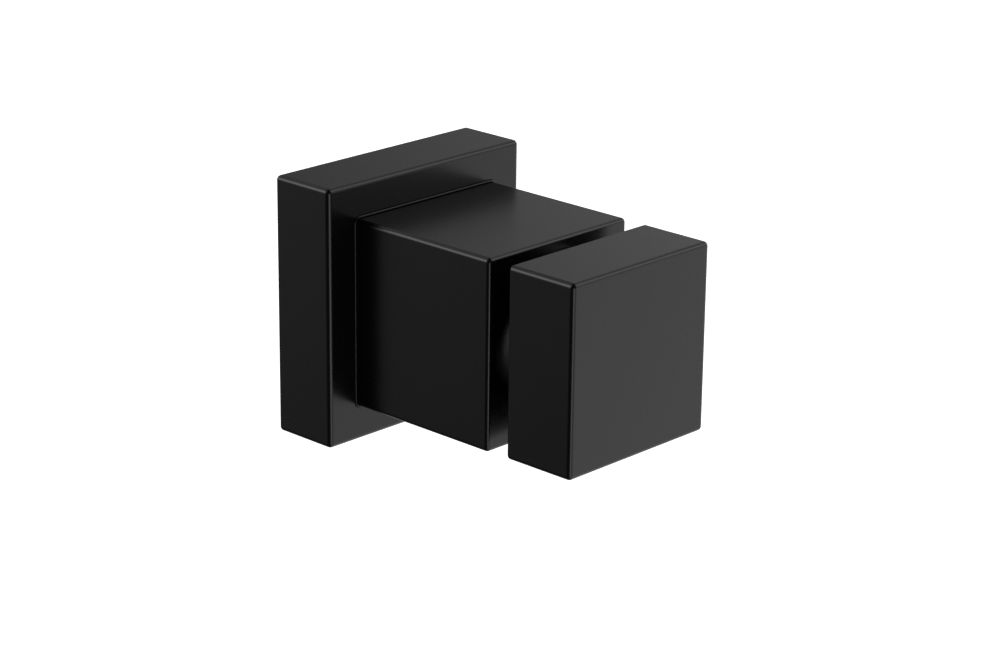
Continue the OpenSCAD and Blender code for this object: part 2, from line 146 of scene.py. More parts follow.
def makeCove(size):
    # A round floor that bends up into a wall: rows (radius, height), with the bend a quarter circle.
    turn = np.linspace(0, math.pi / 2, size["bendRows"])
    rows = np.vstack([[size["middle"], size["floor"]],
                      np.column_stack([size["radius"] - size["bend"] + size["bend"] * np.sin(turn),
                                       size["floor"] + size["bend"] * (1 - np.cos(turn))]),
                      [size["radius"], size["wall"]]])
    angle = np.linspace(0, 2 * math.pi, size["spokes"], endpoint=False)
    points = np.stack([rows[:, :1] * np.cos(angle), rows[:, :1] * np.sin(angle),
                       rows[:, 1:] + 0 * angle], -1).reshape(-1, 3)
    i, j = np.meshgrid(np.arange(len(rows) - 1), np.arange(size["spokes"]), indexing="ij")
    k = (j + 1) % size["spokes"]
    faces = np.stack([i, i, i + 1, i + 1], -1) * size["spokes"] + np.stack([j, k, k, j], -1)
    mesh = bpy.data.meshes.new("cove")
    mesh.from_pydata(points * mm, [], faces.reshape(-1, 4).tolist())
    mesh.polygons.foreach_set("use_smooth", np.ones(len(mesh.polygons), bool))
    paint = bpy.data.materials.new("white_paint")
    paint.use_nodes = True
    shader = paint.node_tree.nodes["Principled BSDF"]
    shader.inputs["Base Color"].default_value = linear(size["colour"])
    shader.inputs["Roughness"].default_value = size["rough"]
    shader.inputs["Emission Color"].default_value = (1, 1, 1, 1)
    shader.inputs["Emission Strength"].default_value = size["glow"]
    mesh.materials.append(paint)
    backdrop = bpy.data.objects.new("cove", mesh)
    scene.collection.objects.link(backdrop)
    # the lamps alone light the valve, so the cove shows to the camera only
    backdrop.visible_diffuse = backdrop.visible_glossy = backdrop.visible_shadow = False
    backdrop.visible_transmission = False


makeCove(cove)
print("studio lit")

# materials


def newMaterial(name):
    # an empty material, its tree, and the place on the object that every pattern reads
    material = bpy.data.materials.new(name)
    material.use_nodes = True
    tree = material.node_tree
    tree.nodes.clear()
    return material, tree, addNode(tree, "ShaderNodeTexCoord").outputs["Object"]


def blackCoat(name, size):
    # Baked black coat on brass: nearly black, with a soft satin sheen. A slow waviness, the orange peel of
    # the spray, bends the reflections a little, and a fine grit takes the hard shine off the edges. The
    # grit is 0.25 mm, coarser than the real one, which is too fine to show.
    material, tree, place = newMaterial(name)
    cloud = addNode(tree, "ShaderNodeTexNoise", {"Scale": 1 / (size["cloud"] * mm), "Detail": 3},
                    {"Vector": place}).outputs[0]
    tint = addNode(tree, "ShaderNodeMix", {"data_type": "RGBA", 6: linear(size["dark"]),
                                           7: linear(size["light"])}, {0: cloud}).outputs[2]
    satin = addNode(tree, "ShaderNodeMapRange", {"To Min": size["rough"][0], "To Max": size["rough"][1]},
                    {"Value": cloud}).outputs[0]
    peel = addNode(tree, "ShaderNodeTexNoise", {"Scale": 1 / (size["peel"] * mm), "Detail": 2},
                   {"Vector": place}).outputs[0]
    wavy = addNode(tree, "ShaderNodeBump", {"Strength": 0.5, "Distance": size["peelHigh"] * mm},
                   {"Height": peel}).outputs[0]
    grit = addNode(tree, "ShaderNodeTexNoise", {"Scale": 1 / (size["grit"] * mm), "Detail": 1},
                   {"Vector": place}).outputs[0]
    gritty = addNode(tree, "ShaderNodeBump", {"Strength": 0.5, "Distance": size["gritHigh"] * mm},
                     {"Height": grit, "Normal": wavy}).outputs[0]
    shader = addNode(tree, "ShaderNodeBsdfPrincipled", {"IOR": 1.5},
                     {"Base Color": tint, "Roughness": satin, "Normal": gritty})
    addNode(tree, "ShaderNodeOutputMaterial", links={"Surface": shader.outputs[0]})
    return material


def turnedMetal(name, size):
    # Bar metal turned on a lathe: fine rings round the valve's axis draw thin streaks in the light, and
    # handling has dulled it in patches. The pattern is stretched across the axis, so that it runs in rings.
    # The rings are 0.25 or 0.3 mm apart, coarser than a real tool's feed, which is too fine to show.
    material, tree, place = newMaterial(name)
    ringed = addNode(tree, "ShaderNodeMapping", {"Scale": (0.06, 1, 0.06)}, {"Vector": place}).outputs[0]
    rings = addNode(tree, "ShaderNodeTexNoise", {"Scale": 1 / (size["ring"] * mm), "Detail": 3},
                    {"Vector": ringed}).outputs[0]
    stain = addNode(tree, "ShaderNodeTexNoise", {"Scale": 1 / (size["stain"] * mm), "Detail": 5},
                    {"Vector": place}).outputs[0]
    tint = addNode(tree, "ShaderNodeMix", {"data_type": "RGBA", 6: linear(size["dark"]),
                                           7: linear(size["light"])}, {0: stain}).outputs[2]
    gloss = addNode(tree, "ShaderNodeMapRange", {"To Min": size["rough"][0], "To Max": size["rough"][1]},
                    {"Value": rings}).outputs[0]
    cut = addNode(tree, "ShaderNodeBump", {"Strength": 0.5, "Distance": size["ringHigh"] * mm},
                  {"Height": rings}).outputs[0]
    shader = addNode(tree, "ShaderNodeBsdfPrincipled", {"Metallic": 1},
                     {"Base Color": tint, "Roughness": gloss, "Normal": cut})
    addNode(tree, "ShaderNodeOutputMaterial", links={"Surface": shader.outputs[0]})
    return material


def mouldedRubber(name, size):
    # Moulded nitrile rubber: dull and dark, with a dusty bloom and the fine grain of the mould.
    material, tree, place = newMaterial(name)
    bloom = addNode(tree, "ShaderNodeTexNoise", {"Scale": 1 / (size["bloom"] * mm), "Detail": 4},
                    {"Vector": place}).outputs[0]
    tint = addNode(tree, "ShaderNodeMix", {"data_type": "RGBA", 6: linear(size["dark"]),
                                           7: linear(size["light"])}, {0: bloom}).outputs[2]
    dull = addNode(tree, "ShaderNodeMapRange", {"To Min": size["rough"][0], "To Max": size["rough"][1]},
                   {"Value": bloom}).outputs[0]
    grain = addNode(tree, "ShaderNodeTexNoise", {"Scale": 1 / (size["grain"] * mm), "Detail": 2},
                    {"Vector": place}).outputs[0]
    skin = addNode(tree, "ShaderNodeBump", {"Strength": 0.5, "Distance": size["grainHigh"] * mm},
                   {"Height": grain}).outputs[0]
    shader = addNode(tree, "ShaderNodeBsdfPrincipled", {"IOR": 1.52},
                     {"Base Color": tint, "Roughness": dull, "Normal": skin})
    addNode(tree, "ShaderNodeOutputMaterial", links={"Surface": shader.outputs[0]})
    return material


def cellFoam(name, size):
    # Closed-cell foam cut from sheet: every cut face is pitted with half bubbles, so it is quite matt.
    material, tree, place = newMaterial(name)
    cells = addNode(tree, "ShaderNodeTexVoronoi", {"Scale": 1 / (size["cell"] * mm)},
                    {"Vector": place}).outputs[0]
    tint = addNode(tree, "ShaderNodeMix", {"data_type": "RGBA", 6: linear(size["dark"]),
                                           7: linear(size["light"])}, {0: cells}).outputs[2]
    pits = addNode(tree, "ShaderNodeBump", {"Strength": 0.8, "Distance": size["deep"] * mm},
                   {"Height": cells}).outputs[0]
    shader = addNode(tree, "ShaderNodeBsdfPrincipled", {"Roughness": 0.93, "IOR": 1.4},
                     {"Base Color": tint, "Normal": pits})
    addNode(tree, "ShaderNodeOutputMaterial", links={"Surface": shader.outputs[0]})
    return material


def mouldedAcetal(name, size):
    # Uncoloured acetal, injection moulded: milky, so a little light goes in, with a faint haze where the
    # melt flowed and a fine spark-finished skin.
    material, tree, place = newMaterial(name)
    flow = addNode(tree, "ShaderNodeTexNoise", {"Scale": 1 / (size["flow"] * mm), "Detail": 3,
                                                "Distortion": 0.8}, {"Vector": place}).outputs[0]
    tint = addNode(tree, "ShaderNodeMix", {"data_type": "RGBA", 6: linear(size["dark"]),
                                           7: linear(size["light"])}, {0: flow}).outputs[2]
    gloss = addNode(tree, "ShaderNodeMapRange", {"To Min": size["rough"][0], "To Max": size["rough"][1]},
                    {"Value": flow}).outputs[0]
    grain = addNode(tree, "ShaderNodeTexNoise", {"Scale": 1 / (size["grain"] * mm), "Detail": 1},
                    {"Vector": place}).outputs[0]
    skin = addNode(tree, "ShaderNodeBump", {"Strength": 0.4, "Distance": size["grainHigh"] * mm},
                   {"Height": grain}).outputs[0]
    shader = addNode(tree, "ShaderNodeBsdfPrincipled",
                     {"IOR": 1.48, "Subsurface Weight": 0.12, "Subsurface Radius": (1.2, 1, 0.7),
                      "Subsurface Scale": mm}, {"Base Color": tint, "Roughness": gloss, "Normal": skin})
    addNode(tree, "ShaderNodeOutputMaterial", links={"Surface": shader.outputs[0]})
    return material


def pressedFibre(name, size):
    # Vulcanised fibre punched from sheet: brick red and dry, with short fibres lying every way.
    material, tree, place = newMaterial(name)
    fibres = addNode(tree, "ShaderNodeTexNoise", {"Scale": 1 / (size["fibre"] * mm), "Detail": 4,
                                                  "Distortion": 3}, {"Vector": place}).outputs[0]
    tint = addNode(tree, "ShaderNodeMix", {"data_type": "RGBA", 6: linear(size["dark"]),
                                           7: linear(size["light"])}, {0: fibres}).outputs[2]
    mat = addNode(tree, "ShaderNodeBump", {"Strength": 0.6, "Distance": size["fibreHigh"] * mm},
                  {"Height": fibres}).outputs[0]
    shader = addNode(tree, "ShaderNodeBsdfPrincipled", {"Roughness": 0.8, "IOR": 1.45},
                     {"Base Color": tint, "Normal": mat})
    addNode(tree, "ShaderNodeOutputMaterial", links={"Surface": shader.outputs[0]})
    return material


coat = {"dark": "#040404", "light": "#070707", "rough": (0.25, 0.29), "cloud": 9, "peel": 1.6,
        "peelHigh": 0.004, "grit": 0.25, "gritHigh": 0.002}
# the screw's cap is moulded with the same fine skin, and is duller
moulded = {**coat, "dark": "#0d0d0d", "light": "#121212", "rough": (0.4, 0.44)}
brass = {"dark": "#b58a43", "light": "#d8b26a", "rough": (0.2, 0.38), "ring": 0.3, "ringHigh": 0.01,
         "stain": 5}
steel = {"dark": "#8b8d90", "light": "#b3b5b8", "rough": (0.22, 0.4), "ring": 0.25, "ringHigh": 0.008,
         "stain": 4}
rubber = {"dark": "#0c0c0d", "light": "#171718", "rough": (0.28, 0.42), "bloom": 3, "grain": 0.25,
          "grainHigh": 0.015}
foam = {"dark": "#232326", "light": "#4b4b50", "cell": 0.5, "deep": 0.12}
acetal = {"dark": "#d6d1c2", "light": "#ebe7db", "rough": (0.34, 0.48), "flow": 7, "grain": 0.2,
          "grainHigh": 0.01}
fibre = {"dark": "#6c2b20", "light": "#9a4736", "fibre": 0.7, "fibreHigh": 0.03}
finishes = {"black_coat": blackCoat("satin_black_coat", coat),
            "black_cap": blackCoat("moulded_black_cap", moulded),
            "turned_brass": turnedMetal("turned_brass", brass),
            "plain_steel": turnedMetal("turned_steel", steel),
            "seal_rubber": mouldedRubber("moulded_rubber", rubber),
            "gasket_foam": cellFoam("cut_cell_foam", foam),
            "natural_plastic": mouldedAcetal("moulded_acetal", acetal),
            "gasket_fibre": pressedFibre("pressed_fibre", fibre)}
slotOf = {part["node"]: part["material_slot"] for part in frame["record"]["subparts"]}
bodyOf = {node: body for body, nodes in frame["record"]["behaviour"]["bodies"].items() for node in nodes}
for node, cadPiece in frame["nodes"].items():
    cadPiece.data.materials.clear()
    cadPiece.data.materials.append(finishes[slotOf[node]])
print("materials made:", len(finishes))

# surfaces: a piece is a set of skins, closed by flat faces between their rims


def rounded(profile, steps=8):
    # Rounds the corners of an open profile. The last number of a row is how far from its corner P the round
    # starts. With A and B there on the two sides and C = A + B - P, the round is
    # C + (A - C) cos t + (B - C) sin t, t from 0 to a quarter turn: an arc, where the corner is square.
    profile = np.array(profile, float)
    corners, soft = profile[:, :-1], profile[:, -1:]
    side = np.diff(corners, axis=0)
    side = side / np.linalg.norm(side[:, [0, -1]], axis=1, keepdims=True)
    a = corners - np.vstack([side[:1], side]) * soft
    b = corners + np.vstack([side, side[-1:]]) * soft
    centre = a + b - corners
    t = np.linspace(0, math.pi / 2, steps + 1)[:, None]
    rows = centre[:, None] + (a - centre)[:, None] * np.cos(t) + (b - centre)[:, None] * np.sin(t)
    rows = rows.reshape(-1, corners.shape[1])
    return rows[np.r_[True, np.abs(np.diff(rows, axis=0)).max(1) > 1e-6]]


def closer(rows, step):
    # adds rows on straight lines, until no two are further apart than step
    parts = [np.linspace(a, b, max(1, math.ceil(np.abs(b - a).max() / step)), endpoint=False)
             for a, b in zip(rows[:-1], rows[1:])]
    return np.vstack([*parts, rows[-1:]])


def squareSkin(profile, perCorner=10):
    # Rows (half width h, corner radius r, station s) carried round a square:
    # x = sx (h - r) + r cos a, z = sz (h - r) + r sin a, y = -s, with a quarter turn of a at each corner.
    half, corner, station = (column[:, None] for column in rounded(profile).T)
    quarter = np.linspace(0, math.pi / 2, perCorner + 1)
    angle = (quarter + np.arange(4)[:, None] * math.pi / 2).ravel()
    x = np.repeat([1, -1, -1, 1], perCorner + 1) * (half - corner) + corner * np.cos(angle)
    z = np.repeat([1, 1, -1, -1], perCorner + 1) * (half - corner) + corner * np.sin(angle)
    return np.stack([x, 0 * x - station, z], -1)


def roundSkin(rows, spokes=96, outline=None, at=(0, 0), upright=False):
    # Rows (radius r, distance d) spun about an axis: x = r cos a, z = r sin a, y = -d, or for an upright
    # axis x = r cos a, y = r sin a, z = d. An outline changes r by angle and distance.
    radius, distance = (column[:, None] for column in np.array(rows, float).T)
    angle = np.linspace(0, 2 * math.pi, spokes, endpoint=False)[None, :]
    if outline is not None:
        radius = outline(radius, distance, angle)
    first, second = at[0] + radius * np.cos(angle), at[1] + radius * np.sin(angle)
    along = distance + 0 * first
    return np.stack([first, second, along] if upright else [first, -along, second], -1)


def hexOutline(flats):
    # r = the smaller of the row's radius and flats / 2 / cos((a mod 60 degrees) - 30 degrees)
    return lambda radius, distance, angle: np.minimum(
        radius, flats / 2 / np.cos(angle % (math.pi / 3) - math.pi / 6))


def cornerOf(flats):
    # from the middle of a hexagon to its corner: half its width over the flats / cos 30 degrees
    return flats / 2 / math.cos(math.pi / 6)


def hexRows(flats, rear, front, chamfer, step=0.12):
    # Rows of a hexagonal bar. At both ends a cone turns its corners off, down to the flats' circle.
    end = closer(np.array([(flats / 2, 0), (cornerOf(flats), chamfer)]), step)
    return np.vstack([end + (0, rear), end[::-1] * (1, -1) + (0, front)])


def hexSkin(flats, rear, front, chamfer):
    # a hexagonal bar with corners on x
    return roundSkin(hexRows(flats, rear, front, chamfer), outline=hexOutline(flats))


def mouthRows(radius, edge, mouth, end, steps=8):
    # rows of a bore, from its rounded mouth to its end
    return rounded([(radius + edge, mouth, 0), (radius, mouth, edge), (radius, end, 0)], steps)


def blockSkin(f, size):
    # the outside of a square piece, with all its edges rounded
    side, front, rear = size["sideRound"], size["frontRound"], size["rearRound"]
    return squareSkin([(f.half - rear, side - rear, f.rear, 0), (f.half, side, f.rear, rear),
                       (f.half, side, f.front, front), (f.half - front, side - front, f.front, 0)])


meshing = {"rimsNear": 1e-5, "onRim": 1e-4, "weld": 1e-3, "sliver": 1e-4}  # in mm


def flatFaces(points, rims):
    # triangles of the flat face between rims, by constrained Delaunay triangulation
    index = np.concatenate(rims)
    across = np.sort(np.argsort(np.ptp(points[index], axis=0))[1:])
    ends = np.cumsum([0] + [len(rim) for rim in rims])
    rings = [list(range(a, b)) for a, b in zip(ends[:-1], ends[1:])]
    flat = [Vector(point) for point in points[index][:, across]]
    _, _, triangles, source, _, _ = delaunay_2d_cdt(flat, [], rings, 2, meshing["rimsNear"])
    back = np.array([index[group[0]] for group in source])
    return back[np.array(triangles)].tolist()


def solidMesh(name, skins, flats=(), holes=()):
    # flats lists the rims (skin, 0 or -1 for its first or last row) round each flat face; holes lists the
    # rims that are cut into the flat side of another skin
    points, faces, rims = [], [], {}
    for label, skin in skins.items():
        start = sum(map(len, points))
        rows, columns, _ = skin.shape
        index = start + np.arange(rows * columns).reshape(rows, columns)
        beside = np.roll(index, -1, axis=1)
        faces.append(np.stack([index[:-1], beside[:-1], beside[1:], index[1:]], -1).reshape(-1, 4))
        rims[label, 0], rims[label, -1] = index[0], index[-1]
        points.append(skin.reshape(-1, 3))
    points, faces = np.vstack(points), np.vstack(faces)
    extra = [face for flat in flats for face in flatFaces(points, [rims[rim] for rim in flat])]
    for hole in holes:
        rim, corners, near = points[rims[hole]], points[faces], meshing["onRim"]
        around = ((corners.min(1) < rim.min(0) + near) & (corners.max(1) > rim.max(0) - near)).all(1)
        extra += flatFaces(points, [faces[around][0], rims[hole]])
        faces = faces[~around]
    made = bmesh.new()
    mesh = bpy.data.meshes.new(name)
    mesh.from_pydata(points * mm, [], faces.tolist() + extra)
    made.from_mesh(mesh)
    bmesh.ops.remove_doubles(made, verts=made.verts, dist=meshing["weld"] * mm)
    bmesh.ops.dissolve_degenerate(made, edges=made.edges, dist=meshing["sliver"] * mm)
    bmesh.ops.recalc_face_normals(made, faces=made.faces)
    made.to_mesh(mesh)
    made.free()
    return mesh


def ringMesh(name, outside, bore):
    # a ring between two skins, whose rows run from rear to front outside and back again inside
    return solidMesh(name, {"outside": outside, "bore": bore},
                     [[("outside", -1), ("bore", 0)], [("bore", -1), ("outside", 0)]])


def discMesh(name, outside):
    # a solid disc or bar, with a flat face at either end of its skin
    return solidMesh(name, {"outside": outside}, [[("outside", 0)], [("outside", -1)]])


def finishPiece(name, mesh, node, sharpAt=34):
    # links the piece, shades it smooth up to its sharp edges, and lets it stand for its CAD node
    piece = bpy.data.objects.new(name, mesh)
    scene.collection.objects.link(piece)
    mesh.polygons.foreach_set("use_smooth", np.ones(len(mesh.polygons), bool))
    mesh.set_sharp_from_angle(angle=math.radians(sharpAt))
    piece.modifiers.new("weighted normals", "WEIGHTED_NORMAL").keep_sharp = True
    mesh.materials.append(finishes[slotOf[node]])
    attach(piece, bodyOf[node])
    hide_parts(node)
    openEdges = np.bincount(np.array([loop.edge_index for loop in mesh.loops]), minlength=len(mesh.edges))
    print(f"{name}: {len(mesh.polygons)} faces, {(openEdges != 2).sum()} open edges")
    return piece


def reach(node):
    # half width and the rear and front stations of a CAD node, in mm
    low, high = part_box(node)
    return SimpleNamespace(half=high.x / mm, rear=-high.y / mm, front=-low.y / mm,
                           top=high.z / mm, bottom=low.z / mm)


# flange, sleeve and collar

flange = {"wall": 3, "plate": 2.5, "rebateWall": 1.5, "rebateDeep": 3, "sideRound": 1.1, "frontRound": 1.1,
          "rearRound": 0.9, "openingGap": 0.55, "openingCorner": 1.8, "lipRound": 0.15, "cavityCorner": 0.6,
          "rebateCorner": 0.4}


def makeFlange(size):
    # a square box without a back, with a rebate for the gasket behind and an opening in front
    f, opening = reach("wall_flange"), reach("square_sleeve").half + size["openingGap"]
    lip, corner = size["lipRound"], size["openingCorner"]
    plateRear, cavity, rebate = f.front - size["plate"], f.half - size["wall"], f.half - size["rebateWall"]
    skins = {
        "outside": blockSkin(f, size),
        "opening": squareSkin([(opening + lip, corner + lip, f.front, 0), (opening, corner, f.front, lip),
                               (opening, corner, plateRear, 0)]),
        "cavity": squareSkin([(cavity, size["cavityCorner"], plateRear, 0),
                              (cavity, size["cavityCorner"], size["rebateDeep"], 0)]),
        "rebate": squareSkin([(rebate, size["rebateCorner"], size["rebateDeep"], 0),
                              (rebate, size["rebateCorner"], f.rear, 0)])}
    flats = [[("outside", -1), ("opening", 0)], [("opening", -1), ("cavity", 0)],
             [("cavity", -1), ("rebate", 0)], [("rebate", -1), ("outside", 0)]]
    finishPiece("flangeShell", solidMesh("flangeShell", skins, flats), "wall_flange")


makeFlange(flange)

seal = {"lipOut": 0.52, "lipIn": 0.03, "cornerOut": 1.75, "cornerIn": 1.15, "lipRound": 0.22, "corner": 0.5,
        "step": 0.1}


def makeSeal(size):
    # the ring behind the flange's plate, with the lip that fills the gap round the sleeve
    f, tube = reach("sleeve_seal"), reach("square_sleeve").half
    lipOut, lipIn, soft = tube + size["lipOut"], tube + size["lipIn"], size["lipRound"]
    ringFront = reach("wall_flange").front - flange["plate"] - size["step"]
    skins = {
        "outside": squareSkin([(f.half, size["corner"], f.rear, 0), (f.half, size["corner"], ringFront, 0)]),
        "lip": squareSkin([(lipOut, size["cornerOut"], ringFront, 0),
                           (lipOut, size["cornerOut"], f.front, soft),
                           (lipIn, size["cornerIn"], f.front, soft), (lipIn, size["cornerIn"], f.rear, 0)])}
    flats = [[("outside", -1), ("lip", 0)], [("lip", -1), ("outside", 0)]]
    finishPiece("sleeveSeal", solidMesh("sleeveSeal", skins, flats), "sleeve_seal")


makeSeal(seal)

gasket = {"width": 4.4, "corner": 0.4}


def makeGasket(size):
    # a square ring, cut from sheet
    f, corner = reach("wall_gasket"), size["corner"]
    inside = f.half - size["width"]
    mesh = ringMesh("wallGasket", squareSkin([(f.half, corner, f.rear, 0), (f.half, corner, f.front, 0)]),
                    squareSkin([(inside, corner, f.front, 0), (inside, corner, f.rear, 0)]))
    finishPiece("wallGasket", mesh, "wall_gasket")


makeGasket(gasket)

sleeve = {"wall": 2, "plate": 3, "hole": 12.6, "holeRound": 0.3, "boreCorner": 0.5, "sideRound": 1.1,
          "frontRound": 0.9, "rearRound": 0.3}


def makeSleeve(size):
    # a square tube, open behind, with a round hole in its front for the support tube
    f = reach("square_sleeve")
    bore, plateRear = f.half - size["wall"], f.front - size["plate"]
    skins = {
        "outside": blockSkin(f, size),
        "hole": roundSkin(mouthRows(size["hole"], size["holeRound"], f.front, plateRear)),
        "bore": squareSkin([(bore, size["boreCorner"], plateRear, 0),
                            (bore, size["boreCorner"], f.rear, 0)])}
    flats = [[("outside", -1), ("hole", 0)], [("hole", -1), ("bore", 0)], [("bore", -1), ("outside", 0)]]
    finishPiece("sleeveShell", solidMesh("sleeveShell", skins, flats), "square_sleeve")


makeSleeve(sleeve)

spacer = {"corner": 0.6, "bore": 13.3, "edgeRound": 0.3, "pocket": 2.9, "pocketFloor": 2, "tube": 13.2}


def makeSpacer(size):
    # a square block with a round bore, and a blind pocket half way between the tube and each corner
    f, edge, corner = reach("sleeve_spacer"), size["edgeRound"], size["corner"]
    place, pocketEnd = (f.half + size["tube"] / math.sqrt(2)) / 2, f.front - size["pocketFloor"]
    skins = {
        "outside": squareSkin([(f.half - edge, corner, f.rear, 0), (f.half, corner, f.rear, edge),
                               (f.half, corner, f.front, 0)]),
        "bore": roundSkin(mouthRows(size["bore"], edge, f.rear, f.front))[::-1]}
    rearFace = [("bore", -1), ("outside", 0)]
    flats = [[("outside", -1), ("bore", 0)], rearFace]
    pocketRows = [(size["pocket"], f.rear), (size["pocket"], pocketEnd)]
    for x in (-place, place):
        for z in (-place, place):
            skins[x, z] = roundSkin(pocketRows, spokes=48, at=(x, z))
            rearFace.append(((x, z), 0))
            flats.append([((x, z), -1)])
    finishPiece("spacerBlock", solidMesh("spacerBlock", skins, flats), "sleeve_spacer")


makeSpacer(spacer)

collar = {"bore": 12.55, "nose": 12.5, "edgeRound": 0.5, "boreRound": 0.3, "taper": 0.7, "spannerHole": 1.5,
          "holeRound": 0.15, "spannerDeep": 2, "grooveWide": 1.7, "grooveDeep": 0.85}


def makeCollar(size):
    # A round nut with two spanner holes in front and a groove for its O-ring behind. Its outside tapers a
    # little towards the sleeve, so that it shows as a dark ring in the gap.
    f, edge, taper = reach("retaining_collar"), size["edgeRound"], size["taper"]
    middle, wide, floor = (f.half + size["nose"]) / 2, size["grooveWide"] / 2, f.front - size["spannerDeep"]
    grooveFloor = f.rear + size["grooveDeep"]
    outside = rounded([(f.half - taper, f.rear, 0), (f.half, f.front, edge), (f.half - edge, f.front, 0)])
    skins = {
        "outside": roundSkin(outside, spokes=128),
        "bore": roundSkin(mouthRows(size["bore"], size["boreRound"], f.front, f.rear), spokes=128),
        "grooveOut": roundSkin([(middle + wide, f.rear), (middle + wide, grooveFloor)], spokes=128),
        "grooveIn": roundSkin([(middle - wide, f.rear), (middle - wide, grooveFloor)], spokes=128)}
    for name, x in (("holeRight", middle), ("holeLeft", -middle)):
        rows = mouthRows(size["spannerHole"], size["holeRound"], f.front, floor, steps=3)
        skins[name] = roundSkin(rows, spokes=32, at=(x, 0))
    flats = [[("outside", -1), ("bore", 0), ("holeRight", 0), ("holeLeft", 0)], [("holeRight", -1)],
             [("holeLeft", -1)], [("outside", 0), ("grooveOut", 0)], [("grooveIn", 0), ("bore", -1)],
             [("grooveOut", -1), ("grooveIn", -1)]]
    finishPiece("collarRing", solidMesh("collarRing", skins, flats), "retaining_collar")


makeCollar(collar)
print("flange, sleeve and collar made")

# knob and the cap over its screw

knob = {"wall": 3, "face": 3, "sideRound": 1.1, "frontRound": 1, "rearRound": 0.8, "cavityCorner": 0.3,
        "cavityRound": 0.3, "hub": 11.64, "hubRound": 0.4, "hubFlats": 16.2, "hubDeep": 9.35,
        "screwRecess": 3.9, "recessDeep": 13.35, "rib": 2.5, "ribInset": 1, "boss": 4.8, "bossRows": 16,
        "draft": 0.15, "screwHole": 2.55, "screwTop": 8.1, "capDeep": 7.3, "capGap": 0.1}


def pocketSkin(half, hub, rib, boss, bossStation, stations, x, z, arcPoints=13):
    # One of the four pockets round the hub: corners (h, t), (h, h), (b, h), then the hub's arc from (b, .)
    # to (., t), where t is half the rib and b = max(t, sqrt(boss^2 - (s - s0)^2)) beside the boss.
    s = np.array(stations, float)[:, None]
    t = 0 * s + rib / 2
    b = np.maximum(t, np.sqrt(np.maximum(boss ** 2 - (s - bossStation) ** 2, 0))) if z < 0 else t
    first, last = np.arccos(b / hub), np.arcsin(t / hub)
    angle = first + (last - first) * np.linspace(0, 1, arcPoints)
    across = np.hstack([half + 0 * s, half + 0 * s, b, hub * np.cos(angle)]) * x
    upright = np.hstack([t, half + 0 * s, half + 0 * s, hub * np.sin(angle)]) * z
    return np.stack([across, 0 * across - s, upright], -1)


def makeKnob(size):
    # a square block, hollow behind, with a round hub on four ribs and a screw's tunnel from below
    f, cap = reach("knob_shell"), reach("screw_cap")
    corner, soft, hub, hubRound = size["cavityCorner"], size["cavityRound"], size["hub"], size["hubRound"]
    cavity, floor, ribs = f.half - size["wall"], f.front - size["face"], f.rear + size["ribInset"]
    hole, station, shelf = cap.half + size["capGap"], (cap.rear + cap.front) / 2, f.bottom + size["capDeep"]
    hubEnd, recessEnd = f.rear + size["hubDeep"], f.rear + size["recessDeep"]
    screwHole, hubCorner = size["screwHole"], cornerOf(size["hubFlats"])
    tunnel = [(hole, f.bottom), (hole, shelf), (screwHole, shelf), (screwHole, -size["screwTop"])]
    skins = {
        "outside": blockSkin(f, size),
        "cavity": squareSkin([(cavity + soft, corner + soft, f.rear, 0), (cavity, corner, f.rear, soft),
                              (cavity, corner, ribs, 0)]),
        "tunnel": roundSkin(tunnel, spokes=48, at=(0, -station), upright=True),
        "hub": roundSkin(rounded([(hub - hubRound, f.rear, 0), (hub, f.rear, hubRound), (hub, ribs, 0)])),
        "hubBore": roundSkin([(hubCorner, f.rear), (hubCorner, hubEnd)], spokes=6),
        "recess": roundSkin([(size["screwRecess"], hubEnd), (size["screwRecess"], recessEnd)], spokes=48)}
    ribFace = [("cavity", -1), ("hub", -1)]
    flats = [[("outside", -1)], [("cavity", 0), ("outside", 0)], [("hub", 0), ("hubBore", 0)],
             [("hubBore", -1), ("recess", 0)], [("recess", -1)], ribFace]
    stations = [ribs, *np.linspace(ribs, station + size["boss"], size["bossRows"])[1:], floor]
    for x in (-1, 1):
        for z in (-1, 1):
            skins[x, z] = pocketSkin(cavity - size["draft"], hub + size["draft"], size["rib"], size["boss"],
                                     station, stations, x, z)
            ribFace.append(((x, z), 0))
            flats.append([((x, z), -1)])
    mesh = solidMesh("knobShell", skins, flats, [("tunnel", 0), ("tunnel", -1)])
    finishPiece("knobShell", mesh, "knob_shell")


makeKnob(knob)

cap = {"edgeRound": 0.2}


def makeCap(size):
    # an upright disc that closes the tunnel, rounded where it shows
    f = reach("screw_cap")
    station, edge = (f.rear + f.front) / 2, size["edgeRound"]
    rows = rounded([(f.half - edge, f.bottom, 0), (f.half, f.bottom, edge), (f.half, f.top, 0)], steps=4)
    skin = roundSkin(rows, spokes=64, at=(0, -station), upright=True)
    finishPiece("screwCap", discMesh("screwCap", skin), "screw_cap")


makeCap(cap)
print("knob made")

# headwork and the nut that locks the tube on it

headwork = {"flats": 25, "chamfer": 1.2, "hexRear": -3, "hexFront": 4.5, "threadRadius": 10.4775,
            "threadPitch": 1.814, "threadDeep": 1.162, "threadLead": 1.2, "threadEnd": -4.5, "threadRows": 12,
            "relief": 9.2775, "neck": 11, "neckEnd": 20, "nose": 8, "noseStep": 0.1, "noseRound": 0.5,
            "guideFlats": 14, "guideEnd": 1, "recess": 6.9, "recessEnd": 3.9, "journal": 5.05,
            "shoulder": 0.001}


